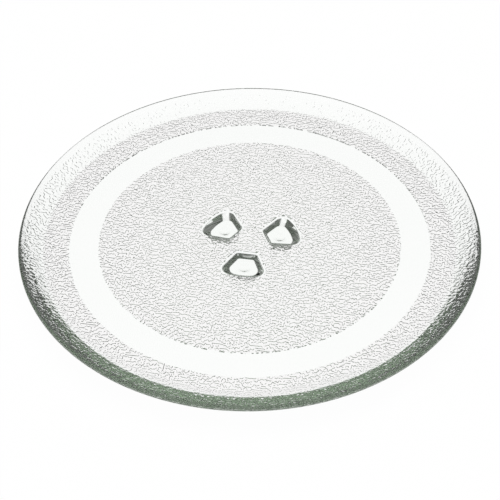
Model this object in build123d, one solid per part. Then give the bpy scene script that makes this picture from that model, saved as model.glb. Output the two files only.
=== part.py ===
"""Pressed-glass turntable plate of a microwave oven, in millimetres with +Z up.

A shallow round dish. Its inner wall rises to a crease, from which a smooth lip slopes out to a rounded
edge. Underneath are the smooth track that runs on the oven's rollers and the three lugs that take the
drive coupler. The plate stands with the pips of its lugs on z = 0 and its axis on Z.
"""

import os
from math import radians, tan

from build123d import *

# Dish
plate_diameter = 245.0
glass_thickness = 5.5
lip_width = 6.5  # from the edge in to the crease
lip_slope = 12.0  # degrees
lip_thickness = 2.6  # at the edge
inner_wall_width = 8.3  # from the crease in to the flat top of the base
inner_wall_height = 3.65
outer_wall_width = 10.6  # from the edge in to the flat underside
inner_bend_radius = 6.0
lip_edge_radius = 1.25
outer_bend_radius = 3.0

# Roller track: a smooth band set into the stippled underside by the depth of the stipple
track_inner_diameter = 162.0
track_outer_diameter = 192.0
stipple_depth = 0.25

# Drive lugs, measured at the foot
lug_count = 3
first_lug_angle = -90.0  # degrees from the X axis
lug_height = 6.5  # from the underside of the base to the foot
lug_inner_radius = 10.6  # from the plate's axis
lug_outer_radius = 22.6
lug_inner_width = 8.6
lug_flank_angle = 26.0  # degrees, each flank to the lug's own centre line
lug_side_draft = 12.5  # degrees from upright, on the inner face and both flanks
lug_outer_draft = 32.0  # degrees from upright
lug_inner_corner = 1.8
lug_outer_corner = 4.0
foot_fillet = 0.6
root_fillet = 3.0

# Pip in the middle of each foot
pip_diameter = 4.4
pip_height = 0.35

foot_z = pip_height
underside_z = foot_z + lug_height
top_z = underside_z + glass_thickness

# The dish: its section, turned about Z
edge_r = plate_diameter / 2
crease_r = edge_r - lip_width
crease_z = top_z + inner_wall_height
lip_z = crease_z + lip_width * tan(radians(lip_slope))
section = FilletPolyline(
    (0, underside_z),
    (edge_r - outer_wall_width, underside_z),
    (edge_r, lip_z - lip_thickness),
    (edge_r, lip_z),
    (crease_r, crease_z),
    (crease_r - inner_wall_width, top_z),
    (0, top_z),
    radius=[0, outer_bend_radius, lip_edge_radius, lip_edge_radius, 0, inner_bend_radius, 0],
    close=True,
)
dish = revolve(Plane.XZ * make_face(section.edges()), Axis.Z)

track = Cylinder(track_outer_diameter / 2, stipple_depth) - Cylinder(track_inner_diameter / 2, stipple_depth)
dish -= Pos(0, 0, underside_z + stipple_depth / 2) * track

# One lug, on the X axis: a wedge drawn up into the middle of the base, with draft on its walls
rise = lug_height + glass_thickness / 2
half = lug_inner_width / 2
spread = (lug_outer_radius - lug_inner_radius) * tan(radians(lug_flank_angle))
corners = [
    (lug_inner_radius, -half),
    (lug_outer_radius, -half - spread),
    (lug_outer_radius, half + spread),
    (lug_inner_radius, half),
]
wedge = make_face(Polyline(*corners, close=True)) & Circle(lug_outer_radius)
foot = Plane((0, 0, foot_z))
lug = extrude(foot * wedge, rise)
sides = lug.faces().filter_by(Axis.Z, reverse=True).filter_by(GeomType.PLANE)
lug = draft(sides, foot, -lug_side_draft)
lug = draft(lug.faces().filter_by(GeomType.CYLINDER), foot, -lug_outer_draft)


def climbing_edges(solid):
    """Edges that run up the solid, from the innermost to the outermost."""
    return solid.edges().filter_by(lambda edge: abs((edge @ 1 - edge @ 0).Z) > rise / 2).sort_by(Axis.X)


lug = fillet(climbing_edges(lug)[:2], lug_inner_corner)
lug = fillet(climbing_edges(lug)[-2:], lug_outer_corner)
lug = fillet(lug.faces().sort_by(Axis.Z)[0].edges(), foot_fillet)

# The pip: a cap of a sphere
cap_radius = (pip_diameter**2 / 4 + pip_height**2) / (2 * pip_height)
pip_r = (lug_inner_radius + lug_outer_radius) / 2
pip = Pos(pip_r, 0, cap_radius) * Sphere(cap_radius)
lug += pip & Pos(pip_r, 0, foot_z) * Cylinder(pip_diameter, 2 * pip_height)

lugs = [place * lug for place in PolarLocations(0, lug_count, start_angle=first_lug_angle)]
plate = dish + lugs
plate = fillet(new_edges(dish, *lugs, combined=plate), root_fillet)

os.makedirs("parts", exist_ok=True)
export_step(plate, "parts/turntable_plate.step")
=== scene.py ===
import math

import bpy
import numpy as np
from mathutils import Matrix, Vector
from mathutils.geometry import delaunay_2d_cdt


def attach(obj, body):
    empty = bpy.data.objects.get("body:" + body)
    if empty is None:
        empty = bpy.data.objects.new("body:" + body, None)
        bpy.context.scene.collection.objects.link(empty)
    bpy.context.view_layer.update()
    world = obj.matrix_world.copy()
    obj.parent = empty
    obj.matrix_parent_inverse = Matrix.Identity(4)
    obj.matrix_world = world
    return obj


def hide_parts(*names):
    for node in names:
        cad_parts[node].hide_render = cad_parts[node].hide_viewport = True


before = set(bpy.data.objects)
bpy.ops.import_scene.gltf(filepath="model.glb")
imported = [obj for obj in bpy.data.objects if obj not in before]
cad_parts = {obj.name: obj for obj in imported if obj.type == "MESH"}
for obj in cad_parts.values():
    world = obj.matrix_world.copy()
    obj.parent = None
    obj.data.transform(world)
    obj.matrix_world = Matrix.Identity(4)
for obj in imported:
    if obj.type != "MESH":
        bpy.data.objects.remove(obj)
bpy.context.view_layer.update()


# The plate is one piece of clear soda-lime glass, pressed in a mould. The plunger leaves its top smooth, and
# the mould stipples its underside, apart from the roller track, the three drive lugs and the lip.

# Stipple: low waves that are cut into the mould. Their middle level is sunk in from the plate's section, and
# on the outer wall they are lower than on the flat underside. They end just below the lip.
STIPPLE_DEPTH = 0.00025
STIPPLE_HEIGHT = 0.00008
STIPPLE_LENGTHS = 0.0021, 0.0034
STIPPLE_WAVES = 120
STIPPLE_SEED = 5
STIPPLE_GAIN = 0.9
STIPPLE_END = 0.1197
STIPPLE_FADE = 0.0005
WALL_RELIEF = 0.5
WALL_STROKES = 0.6
WALL_LEAD, WALL_FADE = 0.003, 0.004


def stipple(x, y):
    """Rise of the stipple from its middle level, in metres, and its slopes along x and y.

    Plane waves of nearly one length run in random directions. Their sum is squeezed by tanh, so that
    the crests and the hollows are a little flat."""
    rng = np.random.default_rng(STIPPLE_SEED)
    turn = rng.uniform(0, math.tau, STIPPLE_WAVES)
    wave = math.tau / rng.uniform(*STIPPLE_LENGTHS, STIPPLE_WAVES)
    phase = rng.uniform(0, math.tau, STIPPLE_WAVES)
    total, along_x, along_y = np.zeros_like(x), np.zeros_like(x), np.zeros_like(x)
    for kx, ky, start in zip(wave * np.cos(turn), wave * np.sin(turn), phase):
        angle = kx * x + ky * y + start
        total += np.cos(angle)
        along_x -= kx * np.sin(angle)
        along_y -= ky * np.sin(angle)
    gain = STIPPLE_GAIN * math.sqrt(2 / STIPPLE_WAVES)
    squeezed = np.tanh(gain * total)
    slope = STIPPLE_HEIGHT * gain * (1 - squeezed**2)
    return STIPPLE_HEIGHT * squeezed, slope * along_x, slope * along_y


def smooth_step(t):
    """0 below 0, 1 above 1, and 3t² - 2t³ between them."""
    t = np.clip(t, 0, 1)
    return t * t * (3 - 2 * t)


# Dish: a section turned about the plate's axis. A flat base rises by a wall to a crease, and a lip slopes
# out from there to a rounded edge. The roller track is the smooth band of its underside.
EDGE_R = 0.1225
LIP_WIDTH = 0.0065
LIP_SLOPE = math.radians(12.0)
LIP_THICKNESS = 0.0026
INNER_WALL_WIDTH = 0.0083
INNER_WALL_HEIGHT = 0.00365
OUTER_WALL_WIDTH = 0.0106
GLASS = 0.0055
UNDERSIDE_Z = 0.00685
OUTER_BEND, EDGE_BEND, CREASE_BEND, INNER_BEND = 0.003, 0.00125, 0.0003, 0.006
TRACK_INNER_R = 0.081
TRACK_OUTER_R = 0.096

# Spacing of the mesh's points: in the lattice of the middle, and along the rings of the dish
LATTICE = 0.00072
STIPPLED_RINGS = 0.0007
SMOOTH_RINGS = 0.003
FEWEST_POINTS = 48
BEND_STEPS = 13
RING_LENGTH, RING_TURN = 0.006, math.radians(12)


def dish_rings():
    """Radius, height, heading, length along the section and point count of the rings of the dish.

    The section runs from the track's inner edge out along the underside, over the lip and in to the middle
    of the top. Its corners are arcs. Rings are even along the stipple, and follow the bends elsewhere."""
    top_z = UNDERSIDE_Z + GLASS
    crease_r = EDGE_R - LIP_WIDTH
    crease_z = top_z + INNER_WALL_HEIGHT
    lip_z = crease_z + LIP_WIDTH * math.tan(LIP_SLOPE)
    corners = np.array(
        [
            (TRACK_INNER_R, UNDERSIDE_Z),
            (EDGE_R - OUTER_WALL_WIDTH, UNDERSIDE_Z),
            (EDGE_R, lip_z - LIP_THICKNESS),
            (EDGE_R, lip_z),
            (crease_r, crease_z),
            (crease_r - INNER_WALL_WIDTH, top_z),
            (0.0, top_z),
        ]
    )
    runs = np.diff(corners, axis=0)
    headings = np.unwrap(np.arctan2(runs[:, 1], runs[:, 0]))
    turns = np.diff(headings)
    radii = np.array([OUTER_BEND, EDGE_BEND, EDGE_BEND, CREASE_BEND, INNER_BEND])
    ways = np.stack([np.cos(headings), np.sin(headings)], 1)
    starts = corners[1:-1] - ways[:-1] * (radii * np.tan(np.abs(turns) / 2))[:, None]
    angle = headings[:-1, None] + turns[:, None] * np.linspace(0, 1, BEND_STEPS)
    bend = (radii * np.sign(turns))[:, None]
    arc_r = starts[:, :1] + bend * (np.sin(angle) - np.sin(headings[:-1, None]))
    arc_z = starts[:, 1:] - bend * (np.cos(angle) - np.cos(headings[:-1, None]))
    r = np.concatenate([corners[:1, 0], arc_r.ravel(), corners[-1:, 0]])
    z = np.concatenate([corners[:1, 1], arc_z.ravel(), corners[-1:, 1]])
    heading = np.concatenate([headings[:1], angle.ravel(), headings[-1:]])
    length = np.concatenate([[0], np.cumsum(np.hypot(np.diff(r), np.diff(z)))])

    # Where the rings are: both edges of the track, the stippled stretch, then by length and bend together
    edge = np.argmax(r) + 1
    stipple_start = TRACK_OUTER_R - TRACK_INNER_R
    stipple_end = np.interp(STIPPLE_END + STIPPLE_FADE, r[:edge], length[:edge])
    stippled = np.arange(stipple_start, stipple_end, STIPPLED_RINGS)
    turned = np.concatenate([[0], np.cumsum(np.abs(np.diff(heading)))])
    effort = length / RING_LENGTH + turned / RING_TURN
    first = np.interp(stippled[-1], length, effort)
    smooth = np.interp(np.arange(first, effort[-1], 1.0)[1:], effort, length)
    at = np.concatenate([[0], stippled, smooth, length[-1:]])
    ring_r = np.interp(at, length, r)
    spacing = np.where(at <= stippled[-1], STIPPLED_RINGS, SMOOTH_RINGS)
    count = np.maximum(np.round(math.tau * ring_r / spacing), FEWEST_POINTS).astype(int)
    count[0] = round(math.tau * TRACK_INNER_R / LATTICE)
    count[-1] = 1
    return ring_r, np.interp(at, length, z), np.interp(at, length, heading), at, count


def dish_surface():
    """Points, normals and shares of stipple of the dish's rings, and each ring's first point and count.

    The stipple's middle level, on which the track lies, is sunk in from the section. The stipple fades out
    at the track and grows lower up the wall, and it ends with the sinking at the lip."""
    ring_r, ring_z, ring_heading, ring_at, count = dish_rings()
    first = np.concatenate([[0], np.cumsum(count)[:-1]])
    r, z, heading, at = (np.repeat(v, count) for v in (ring_r, ring_z, ring_heading, ring_at))
    theta = math.tau * (np.arange(count.sum()) - np.repeat(first, count)) / np.repeat(count, count)
    cos, sin = np.cos(theta), np.sin(theta)
    unrolled = TRACK_INNER_R + at
    rise, slope_x, slope_y = stipple(unrolled * cos, unrolled * sin)
    edge = np.argmax(ring_r) + 1
    under = at < np.interp(EDGE_R - 1e-6, ring_r[:edge], ring_at[:edge])
    past_track = smooth_step((r - TRACK_OUTER_R) / STIPPLE_FADE)
    below_lip = np.where(under, 1 - smooth_step((r - STIPPLE_END) / STIPPLE_FADE), 0)
    on_flat = 1 - smooth_step((r - EDGE_R + OUTER_WALL_WIDTH + WALL_LEAD) / WALL_FADE)
    relief = past_track * (WALL_RELIEF + (1 - WALL_RELIEF) * on_flat)
    strokes = past_track * below_lip * (WALL_STROKES + (1 - WALL_STROKES) * on_flat)
    sink = (STIPPLE_DEPTH - rise * relief) * below_lip
    along = -relief * below_lip * (slope_x * cos + slope_y * sin)
    round_axis = -relief * below_lip * (slope_y * cos - slope_x * sin)
    out_r, out_z = np.sin(heading), -np.cos(heading)
    normal_r = out_r + along * np.cos(heading)
    normal_z = out_z + along * np.sin(heading)
    place_r, place_z = r - sink * out_r, z - sink * out_z
    points = np.stack([place_r * cos, place_r * sin, place_z], 1)
    normals = np.stack([normal_r * cos - round_axis * sin, normal_r * sin + round_axis * cos, normal_z], 1)
    return points, normals, strokes, first, count


# Drive lugs: three wedges that take the arms of the drive coupler between them. They are pressed in one with
# the plate, with draft on their walls, and each has a pip on its foot.
LUG_ANGLES = np.radians([-90.0, 30.0, 150.0])
FOOT_Z = 0.00035
LUG_INNER_R = 0.0112
LUG_OUTER_R = 0.0234
LUG_INNER_WIDTH = 0.0086
LUG_FLANK = math.radians(26.0)
LUG_SIDE_DRAFT = math.radians(13.0)
LUG_OUTER_DRAFT = math.radians(27.0)
LUG_INNER_CORNER = 0.0018
LUG_OUTER_CORNER = 0.004
FOOT_FILLET = 0.001
ROOT_FILLET = 0.0012
PIP_R = 0.0028

# Points along half an outline, and rows down the root fillet and in to the pip's tip
OUTER_STEPS, OUTER_CORNER_STEPS, FLANK_STEPS, INNER_CORNER_STEPS, INNER_STEPS = 11, 13, 15, 8, 5
FILLET_STEPS = 11
PIP_ROWS = 1.0, 0.75, 0.5, 0.25


def lug_section(draft):
    """Outset from the foot's edge, height and lean of the rows of a lug's root fillet, wall and foot fillet.

    Both fillets are arcs that touch the wall, which leans by the draft. A fillet meets the flat at its
    radius times tan(45° - draft/2) from where the wall would. The foot's arc has half the root's steps."""
    top = UNDERSIDE_Z + STIPPLE_DEPTH
    turn = np.linspace(0, math.pi / 2 - draft, FILLET_STEPS)
    foot_turn = turn[::-2]
    reach = math.tan(math.pi / 4 - draft / 2)
    root_centre = (top - FOOT_Z) * math.tan(draft) + ROOT_FILLET * reach
    root_x = root_centre - ROOT_FILLET * np.sin(turn)
    root_z = top - ROOT_FILLET * (1 - np.cos(turn))
    foot_x = FOOT_FILLET * (np.sin(foot_turn) - reach)
    foot_z = FOOT_Z + FOOT_FILLET * (1 - np.cos(foot_turn))
    outset = np.concatenate([root_x, [(root_x[-1] + foot_x[0]) / 2], foot_x])
    height = np.concatenate([root_z, [(root_z[-1] + foot_z[0]) / 2], foot_z])
    lean = np.concatenate([turn, turn[-1:], foot_turn])
    return outset[:, None], height[:, None], lean[:, None]


def row_arcs(centre, radius, start, end, steps):
    """Points of each row's arc about its centre, and the way that each of them faces."""
    angle = start + (end - start) * np.linspace(0, 1, steps)
    facing = np.stack([np.cos(angle), np.sin(angle)], -1)
    return centre + radius[..., None] * facing, facing


def lug_surface():
    """Points, normals and outline count of one lug on the X axis, in rows from its root in to its pip.

    A row is a wedge with rounded corners: a straight inner edge, spreading flanks and an arc about the
    plate's axis. The rows follow the lug's section, which the outer arc has at a different draft."""
    side, side_z, side_lean = lug_section(LUG_SIDE_DRAFT)
    outer, outer_z, outer_lean = lug_section(LUG_OUTER_DRAFT)
    proud = side - (side_z - FOOT_Z) * math.tan(LUG_SIDE_DRAFT)
    inner_corner = LUG_INNER_CORNER + proud
    outer_corner = LUG_OUTER_CORNER + proud

    # Centres of the upper two corners, from the offset inner edge, flank and outer arc
    along = np.array([math.cos(LUG_FLANK), math.sin(LUG_FLANK)])
    across = np.array([-math.sin(LUG_FLANK), math.cos(LUG_FLANK)])
    flank = across @ np.array([LUG_INNER_R, LUG_INNER_WIDTH / 2]) + side
    far = np.sqrt((LUG_OUTER_R + outer - outer_corner) ** 2 - (flank - outer_corner) ** 2)
    outer_centre = far[..., None] * along + (flank - outer_corner)[..., None] * across
    inner_x = LUG_INNER_R - side + inner_corner
    inner_y = (flank - inner_corner - across[0] * inner_x) / across[1]
    inner_centre = np.stack([inner_x, inner_y], -1)

    # The upper half of the outline, from the middle of the outer arc round to the middle of the inner edge
    bend = np.arctan2(outer_centre[..., 1], outer_centre[..., 0])
    flank_facing = np.full_like(side, math.pi / 2 + LUG_FLANK)
    outer_arc, outer_facing = row_arcs(np.zeros(2), LUG_OUTER_R + outer, 0 * bend, bend, OUTER_STEPS)
    bend_arc, bend_facing = row_arcs(
        outer_centre[:, None, 0], outer_corner, bend, flank_facing, OUTER_CORNER_STEPS
    )
    inner_arc, inner_facing = row_arcs(
        inner_centre[:, None, 0], inner_corner, flank_facing, math.pi, INNER_CORNER_STEPS
    )
    share = np.linspace(0, 1, FLANK_STEPS)[1:-1, None]
    flank_line = bend_arc[:, -1:] + (inner_arc[:, :1] - bend_arc[:, -1:]) * share
    middle = inner_arc[:, -1:] * np.array([1, 0])
    share = np.linspace(0, 1, INNER_STEPS)[1:, None]
    inner_line = inner_arc[:, -1:] + (middle - inner_arc[:, -1:]) * share
    flank_facings = np.repeat(bend_facing[:, -1:], flank_line.shape[1], axis=1)
    inner_facings = np.repeat(inner_facing[:, -1:], inner_line.shape[1], axis=1)
    half = np.concatenate([outer_arc[:, :-1], bend_arc, flank_line, inner_arc, inner_line], 1)
    half_facing = np.concatenate(
        [outer_facing[:, :-1], bend_facing, flank_facings, inner_facing, inner_facings], 1
    )

    # Along it, the outer arc's section gives way to the sides' in the later two thirds of the outer corner
    give_way = smooth_step(np.linspace(1.5, 0, OUTER_CORNER_STEPS))
    sides = np.zeros(half.shape[1] - (OUTER_STEPS - 1) - OUTER_CORNER_STEPS)
    outerness = np.concatenate([np.ones(OUTER_STEPS - 1), give_way, sides])

    # The whole outline, anticlockwise: the upper half, then its mirror image
    flip = np.array([1, -1])
    outline = np.concatenate([half, half[:, -2:0:-1] * flip], 1)
    facing = np.concatenate([half_facing, half_facing[:, -2:0:-1] * flip], 1)
    outerness = np.concatenate([outerness, outerness[-2:0:-1]])
    height = side_z + (outer_z - side_z) * outerness
    lean = side_lean + (outer_lean - side_lean) * outerness

    # The flat of the foot draws in to the pip, a cap of a sphere that ends in a point
    centre = np.array([(LUG_INNER_R + LUG_OUTER_R) / 2, 0])
    spoke = outline[-1] - centre
    spoke /= np.linalg.norm(spoke, axis=1, keepdims=True)
    rim = centre + PIP_R * spoke
    cap = (PIP_R**2 + FOOT_Z**2) / (2 * FOOT_Z)
    inward = np.array(PIP_ROWS)[:, None, None]
    pip_points = centre + inward * PIP_R * spoke
    pip_lean = np.arcsin(inward[..., 0] * PIP_R / cap)
    pip_z = cap * (1 - np.cos(pip_lean))
    outline = np.concatenate([outline, (outline[-1:] + rim) / 2, pip_points])
    facing = np.concatenate([facing, np.repeat(spoke[None], 1 + len(PIP_ROWS), axis=0)])
    ones = np.ones((1, len(spoke)))
    height = np.concatenate([height, FOOT_Z * ones, pip_z * ones])
    lean = np.concatenate([lean, 0 * ones, pip_lean * ones])

    points = np.concatenate([outline, height[..., None]], -1)
    normals = np.concatenate([facing * np.sin(lean)[..., None], -np.cos(lean)[..., None]], -1)
    return (
        np.concatenate([points.reshape(-1, 3), [[*centre, 0.0]]]),
        np.concatenate([normals.reshape(-1, 3), [[0, 0, -1]]]),
        outline.shape[1],
    )


# Middle of the underside: the stippled flat inside the track, which the lugs stand out of. It is joined to
# them and to the dish as one closed skin.
KEEP_OFF = 0.6


def stippled_middle(roots):
    """Points, normals and shares of stipple of the underside inside the track and outside the lugs' roots.

    They are a lattice of even triangles, less the points within KEEP_OFF steps of a root or the track. A
    root is convex, so a point's distance from it is the largest of those from its edges' lines."""
    row_step = LATTICE * math.sqrt(3) / 2
    rows = int(TRACK_INNER_R / row_step) + 1
    columns = int(TRACK_INNER_R / LATTICE) + 1
    j, i = np.mgrid[-rows : rows + 1, -columns : columns + 1]
    x = ((i + 0.5 * (j % 2)) * LATTICE).ravel()
    y = (j * row_step).ravel()
    inside = np.hypot(x, y) < TRACK_INNER_R - KEEP_OFF * LATTICE
    x, y = x[inside], y[inside]
    clear = np.full(len(x), np.inf)
    for root in roots:
        edge = np.roll(root, -1, 0) - root
        facing = np.stack([edge[:, 1], -edge[:, 0]], 1) / np.linalg.norm(edge, axis=1, keepdims=True)
        reach = (facing * root).sum(1)
        clear = np.minimum(clear, (np.stack([x, y], 1) @ facing.T - reach).max(1))
    keep = clear > KEEP_OFF * LATTICE
    x, y, clear = x[keep], y[keep], clear[keep]
    rise, slope_x, slope_y = stipple(x, y)
    share = smooth_step(clear / STIPPLE_FADE)
    share *= smooth_step((TRACK_INNER_R - np.hypot(x, y)) / STIPPLE_FADE)
    points = np.stack([x, y, UNDERSIDE_Z + STIPPLE_DEPTH - share * rise], 1)
    normals = np.stack([-share * slope_x, -share * slope_y, -np.ones(len(x))], 1)
    return points, normals, share


def stitch(a, n, b, m):
    """Triangles between two closed loops that run the same way: n points from vertex a, m from vertex b.

    Each edge of one loop is joined to the point that the other has reached at the edge's middle."""
    i, j = np.arange(n), np.arange(m)
    reached_b = np.ceil((i + 0.5) / n * m - 0.5 - 1e-9).astype(int) % m
    reached_a = np.floor((j + 0.5) / m * n + 0.5 + 1e-9).astype(int) % n
    from_a = np.stack([a + i, a + (i + 1) % n, b + reached_b], 1)
    from_b = np.stack([b + (j + 1) % m, b + j, a + reached_a], 1)
    return np.concatenate([from_a[: n if n > 1 else 0], from_b[: m if m > 1 else 0]])


def plate_mesh():
    """Points, normals, shares of stipple and triangles of the whole plate, closed.

    The rows of each lug and the rings of the dish are stitched. Constrained triangles fill the middle, from
    the lugs' roots to the track."""
    lug_points, lug_normals, outline = lug_surface()
    lug_rows = (len(lug_points) - 1) // outline
    points, normals, shares, faces, roots, loops = [], [], [], [], [], []
    total = 0
    for angle in LUG_ANGLES:
        turn = np.array(Matrix.Rotation(angle, 3, "Z"))
        points.append(lug_points @ turn.T)
        normals.append(lug_normals @ turn.T)
        shares.append(np.zeros(len(lug_points)))
        roots.append(points[-1][:outline, :2])
        loops.append(total + np.arange(outline))
        for row in range(lug_rows - 1):
            faces.append(stitch(total + (row + 1) * outline, outline, total + row * outline, outline))
        faces.append(stitch(total + lug_rows * outline, 1, total + (lug_rows - 1) * outline, outline))
        total += len(lug_points)
    ring_points, ring_normals, ring_share, first, count = dish_surface()
    points.append(ring_points)
    normals.append(ring_normals)
    shares.append(ring_share)
    loops.append(total + np.arange(count[0]))
    for a, n, b, m in zip(total + first[:-1], count[:-1], total + first[1:], count[1:]):
        faces.append(stitch(a, n, b, m))
    total += len(ring_points)
    middle_points, middle_normals, middle_share = stippled_middle(roots)
    points.append(middle_points)
    normals.append(middle_normals)
    shares.append(middle_share)
    middle = total + np.arange(len(middle_points))
    points, normals = np.concatenate(points), np.concatenate(normals)

    # The triangles of the middle, less those that lie inside a lug's root
    used = np.concatenate([*loops, middle])
    sizes = np.array([len(loop) for loop in loops])
    starts = np.cumsum(sizes) - sizes
    steps = [np.arange(size) for size in sizes]
    edges = [np.stack([k, (k + 1) % len(k)], 1) + start for k, start in zip(steps, starts)]
    triangles = delaunay_2d_cdt(points[used, :2].tolist(), np.concatenate(edges).tolist(), [], 0, 1e-9)[2]
    triangles = np.array(triangles)
    owner = np.repeat(np.arange(len(loops) + 1), [*sizes, len(middle)])[triangles]
    inside_lug = (owner == owner[:, :1]).all(1) & (owner[:, 0] < len(LUG_ANGLES))
    faces.append(used[triangles[~inside_lug]][:, ::-1])
    normals /= np.linalg.norm(normals, axis=1, keepdims=True)
    return points, normals, np.concatenate(shares), np.concatenate(faces)


points, normals, shares, faces = plate_mesh()
mesh = bpy.data.meshes.new("glass_plate")
mesh.from_pydata(points.tolist(), [], faces.tolist())
mesh.validate()
mesh.shade_smooth()
mesh.normals_split_custom_set_from_vertices(normals.tolist())
mesh.attributes.new("stippled", "FLOAT", "POINT").data.foreach_set("value", shares)
plate = bpy.data.objects.new("glass_plate", mesh)
bpy.context.scene.collection.objects.link(plate)
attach(plate, "root")
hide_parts("turntable_plate")


class Finish:
    """A material's nodes, and one of their sockets, on which Python's operators add Math nodes."""

    def __init__(self, tree, socket=None):
        self.tree = tree
        self.socket = socket

    def node(self, kind, settings=None, output=0, **inputs):
        """The output of a new node of that kind, with its settings and its inputs' values or links.

        An input is given by its name, with _ for a space, or as _ and its number."""
        node = self.tree.nodes.new(kind)
        for name, value in (settings or {}).items():
            setattr(node, name, value)
        for name, value in inputs.items():
            key = int(name[1:]) if name[0] == "_" else name.replace("_", " ")
            if isinstance(value, Finish):
                self.tree.links.new(value.socket, node.inputs[key])
            else:
                node.inputs[key].default_value = value
        return Finish(self.tree, node.outputs[output])

    def feeds(self, node, name):
        """Links this socket to the input of that name on a node of the tree."""
        self.tree.links.new(self.socket, self.tree.nodes[node].inputs[name])

    def math(self, operation, other):
        return self.node("ShaderNodeMath", {"operation": operation}, _0=self, _1=other)

    def __add__(self, other):
        return self.math("ADD", other)

    def __mul__(self, other):
        return self.math("MULTIPLY", other)

    def __gt__(self, other):
        return self.math("GREATER_THAN", other)

    def __lt__(self, other):
        return self.math("LESS_THAN", other)

    __radd__ = __add__
    __rmul__ = __mul__


# The glass is clear, and faintly green in its depth. Fine pebbles roughen the stipple's waves, and painted
# shade greys the base colour of the stippled flat, for the light that the stipple scatters away.
CLEAR_TINTS = (0.985, 0.992, 0.987, 1), (1, 1, 1, 1)
# Painted shade: the grey base colour that the stippled flat takes, for light that its stipple scatters away
STIPPLED_PAINTED_SHADE = 0.95, 0.92, 0.935, 1
CLOUD_SCALE = 60.0
GRAIN_SCALE = 700.0
GRAIN_HEIGHT = 0.00022
GRAIN_LEVELS = 0.42, 0.58
SMOOTHEST, ROUGHER = 0.004, 0.012
glass = bpy.data.materials.new("clear_pressed_glass")
glass.use_nodes = True
finish = Finish(glass.node_tree)
place = finish.node("ShaderNodeTexCoord", output="Object")
stippled = finish.node("ShaderNodeAttribute", {"attribute_name": "stippled"}, "Fac")
cloud = finish.node("ShaderNodeTexNoise", Vector=place, Scale=CLOUD_SCALE, Detail=2.0)
grain = finish.node("ShaderNodeTexNoise", Vector=place, Scale=GRAIN_SCALE, Detail=0.0)
pebbles = finish.node(
    "ShaderNodeMapRange",
    {"interpolation_type": "SMOOTHSTEP"},
    Value=grain,
    From_Min=GRAIN_LEVELS[0],
    From_Max=GRAIN_LEVELS[1],
)
# Painted shade: full on the stippled flat, none on the wall's lower stipple or on the track
painted_shade = finish.node("ShaderNodeMapRange", Value=stippled, From_Min=WALL_STROKES, From_Max=1.0)
blend = {"data_type": "RGBA"}
clear = finish.node("ShaderNodeMix", blend, 2, Factor=cloud, _6=CLEAR_TINTS[0], _7=CLEAR_TINTS[1])
# The clear glass's random tone, greyed by the painted shade on the stippled flat
tint_and_painted_shade = finish.node("ShaderNodeMix", blend, 2, Factor=painted_shade, _6=clear, _7=STIPPLED_PAINTED_SHADE)
relief = finish.node("ShaderNodeBump", Height=stippled * pebbles, Strength=1.0, Distance=GRAIN_HEIGHT)
depth = finish.node("ShaderNodeVolumeAbsorption", Color=(0.62, 0.80, 0.58, 1), Density=7.0)
tint_and_painted_shade.feeds("Principled BSDF", "Base Color")
(SMOOTHEST + ROUGHER * cloud).feeds("Principled BSDF", "Roughness")
relief.feeds("Principled BSDF", "Normal")
depth.feeds("Material Output", "Volume")
shader = glass.node_tree.nodes["Principled BSDF"]
shader.inputs["Transmission Weight"].default_value = 1.0
shader.inputs["IOR"].default_value = 1.52
mesh.materials.append(glass)


# The floor is a plain white sweep. What the camera, a reflection or the glass shows of it is white, and a
# share of plain paint under the lamps keeps the plate's soft shadow. Through the glass it gains what the
# glass's faces mirror away, and light that has turned more than once in the glass finds it dark.
FLOOR_SIZE = 8.0
FLOOR_SHOWN = 0.98
FLOOR_WHITE = 1, 1, 1, 1
THROUGH_GLASS = 1.07, 1.07, 1.07, 1
AFTER_TURNS = 0.096, 0.096, 0.096, 1
ONE_TURN = 3.5  # ray depth: in, one turn and out are three steps
corners = np.array([(-1, -1, 0), (1, -1, 0), (1, 1, 0), (-1, 1, 0)]) * FLOOR_SIZE / 2
floor_mesh = bpy.data.meshes.new("floor")
floor_mesh.from_pydata(corners.tolist(), [], [(0, 1, 2, 3)])
floor = bpy.data.objects.new("floor", floor_mesh)
bpy.context.scene.collection.objects.link(floor)
paint = bpy.data.materials.new("floor_white")
paint.use_nodes = True
paint.node_tree.nodes.remove(paint.node_tree.nodes["Principled BSDF"])
finish = Finish(paint.node_tree)
camera_ray = finish.node("ShaderNodeLightPath", output="Is Camera Ray")
glossy_ray = finish.node("ShaderNodeLightPath", output="Is Glossy Ray")
glass_ray = finish.node("ShaderNodeLightPath", output="Is Transmission Ray")
turned = finish.node("ShaderNodeLightPath", output="Ray Depth") > ONE_TURN
seen = camera_ray.math("MAXIMUM", glossy_ray).math("MAXIMUM", glass_ray)
shown = finish.node("ShaderNodeMix", blend, 2, Factor=glass_ray, _6=FLOOR_WHITE, _7=THROUGH_GLASS)
shown = finish.node("ShaderNodeMix", blend, 2, Factor=turned, _6=shown, _7=AFTER_TURNS)
white = finish.node("ShaderNodeEmission", Color=shown, Strength=1.0)
matt = finish.node("ShaderNodeBsdfDiffuse", Color=(0.95, 0.95, 0.95, 1))
surface = finish.node("ShaderNodeMixShader", Fac=FLOOR_SHOWN * seen, _1=matt, _2=white)
surface.feeds("Material Output", "Surface")
floor_mesh.materials.append(paint)


# The room is grey, and white where the plate's top mirrors it directly
ROOM_GREY = 0.25, 0.25, 0.25, 1
ROOM_MIRRORED = 1, 1, 1, 1
FIRST_BOUNCE = 1.5
world = bpy.data.worlds.new("studio")
bpy.context.scene.world = world
world.use_nodes = True
finish = Finish(world.node_tree)
glossy_ray = finish.node("ShaderNodeLightPath", output="Is Glossy Ray")
mirrored = glossy_ray * (finish.node("ShaderNodeLightPath", output="Ray Depth") < FIRST_BOUNCE)
room = finish.node("ShaderNodeMix", blend, 2, Factor=mirrored, _6=ROOM_GREY, _7=ROOM_MIRRORED)
room.feeds("Background", "Color")


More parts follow.
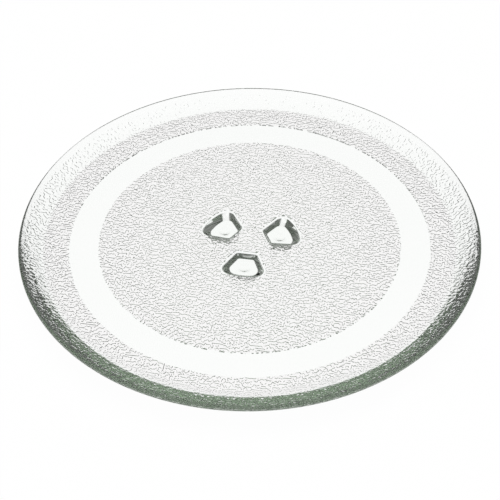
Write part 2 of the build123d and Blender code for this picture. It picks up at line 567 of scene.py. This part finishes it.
# The camera looks at the track's plane as it shows through the glass, from the photograph's height
ELEVATION = math.radians(43.91)
AZIMUTH = math.radians(10.0)
ROLL = math.radians(0.798)
DISTANCE = 0.8177
LENS_PIXELS, FRAME_PIXELS = 1529.0, 500.0
SHIFT_X, SHIFT_Y = 0.00082, -0.01856
APPARENT_DEPTH = 0.518
aim = Vector((0, 0, UNDERSIDE_Z + GLASS * (1 - APPARENT_DEPTH)))
away = Vector(
    (
        math.sin(AZIMUTH) * math.cos(ELEVATION),
        -math.cos(AZIMUTH) * math.cos(ELEVATION),
        math.sin(ELEVATION),
    )
)
lens = bpy.data.cameras.new("camera")
camera = bpy.data.objects.new("camera", lens)
bpy.context.scene.collection.objects.link(camera)
bpy.context.scene.camera = camera
camera.matrix_world = (
    Matrix.Translation(aim + away * DISTANCE)
    @ (-away).to_track_quat("-Z", "Y").to_matrix().to_4x4()
    @ Matrix.Rotation(-ROLL, 4, "Z")
)
lens.sensor_width = 36.0
lens.lens = lens.sensor_width * LENS_PIXELS / FRAME_PIXELS
lens.shift_x, lens.shift_y = SHIFT_X, SHIFT_Y
lens.clip_start = 0.01


# Lamps: one wide soft box behind the plate, which its rim shows through the glass, and one plain lamp above
LAMP_DISTANCE = 1.5
SOFT_BOX_SIZE, SOFT_BOX_WATTS = (3.2, 1.4), 5.4
TOP_SIZE, TOP_WATTS = (1.2, 1.2), 17.0


def area_lamp(name, size, watts, way):
    """A rectangular lamp at LAMP_DISTANCE from the plate's foot along a unit vector, turned back to it."""
    light = bpy.data.lights.new(name, "AREA")
    light.shape = "RECTANGLE"
    light.size, light.size_y = size
    light.energy = watts
    lamp = bpy.data.objects.new(name, light)
    bpy.context.scene.collection.objects.link(lamp)
    turn = (-way).to_track_quat("-Z", "Y").to_matrix().to_4x4()
    lamp.matrix_world = Matrix.Translation(way * LAMP_DISTANCE) @ turn
    lamp.visible_glossy = False
    return lamp


area_lamp("soft_box", SOFT_BOX_SIZE, SOFT_BOX_WATTS, Vector((-away.x, -away.y, away.z)))
top_lamp = area_lamp("top_light", TOP_SIZE, TOP_WATTS, Vector((0, 0, 1)))
top_lamp.visible_transmission = False

# Light runs far inside clear glass before it leaves
bpy.context.scene.cycles.max_bounces = 32
bpy.context.scene.cycles.transmission_bounces = 32
bpy.context.scene.cycles.glossy_bounces = 12
bpy.context.scene.view_settings.view_transform = "Standard"
